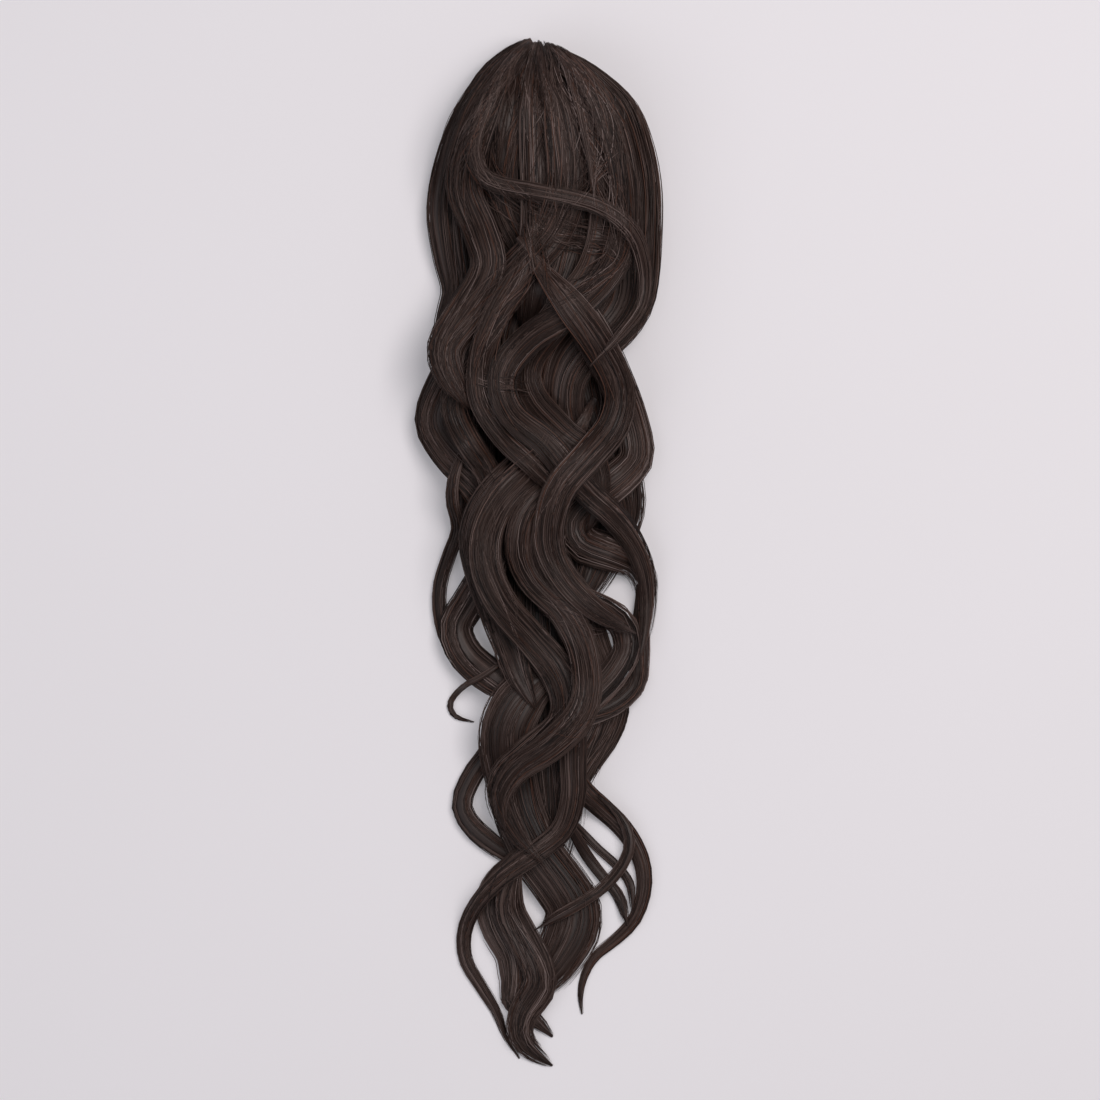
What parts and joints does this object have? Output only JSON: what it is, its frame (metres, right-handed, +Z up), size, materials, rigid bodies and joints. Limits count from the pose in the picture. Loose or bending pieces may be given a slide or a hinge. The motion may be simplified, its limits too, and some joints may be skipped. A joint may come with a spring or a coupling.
{
  "type": "ponytail hairpiece",
  "caption": "Long wavy ponytail of dark brown hair locks over a hidden claw clip, lying front up; the claw grips the wearer's own gathered hair.",
  "frame": {"origin": "on the table, under the middle of the hair's length and width", "axes": "+Y along the hair from the tips towards the crown, +Z up from the table towards the front of the hair, +X to the right seen from the front"},
  "size_m": [0.1336, 0.5596, 0.0618],
  "materials": {
    "hair_fibre": "soft satin fibre",
    "clip_plastic": "satin"
  },
  "bodies": {
    "root": {"claw_clip": "clip_plastic", "cross_lock": "hair_fibre", "crown_left_strip": "hair_fibre", "crown_middle_strip": "hair_fibre", "crown_right_strip": "hair_fibre", "fork_strand_a": "hair_fibre", "fork_strand_b": "hair_fibre", "fork_strand_c": "hair_fibre", "left_bulge_lock": "hair_fibre", "left_crown_lock": "hair_fibre", "left_group_lock": "hair_fibre", "left_inner_curl": "hair_fibre", "left_lower_curl": "hair_fibre", "left_nape_lock": "hair_fibre", "left_outer_curl": "hair_fibre", "left_panel_lock": "hair_fibre", "left_ringlet": "hair_fibre", "left_s_lock": "hair_fibre", "middle_long_lock": "hair_fibre", "middle_ringlet": "hair_fibre", "middle_s_lock": "hair_fibre", "right_crown_lock": "hair_fibre", "right_fork_lock": "hair_fibre", "right_inner_curl": "hair_fibre", "right_long_lock": "hair_fibre", "right_lower_curl": "hair_fibre", "right_middle_lock": "hair_fibre", "right_s_lock": "hair_fibre", "right_tail_panel": "hair_fibre", "small_left_loop": "hair_fibre", "tail_cross_lock": "hair_fibre", "tail_left_lock": "hair_fibre", "tail_middle_lock": "hair_fibre", "tail_panel_lock": "hair_fibre", "under_fall": "hair_fibre", "under_left_lock": "hair_fibre", "under_right_lock": "hair_fibre"}
  },
  "joints": []
}
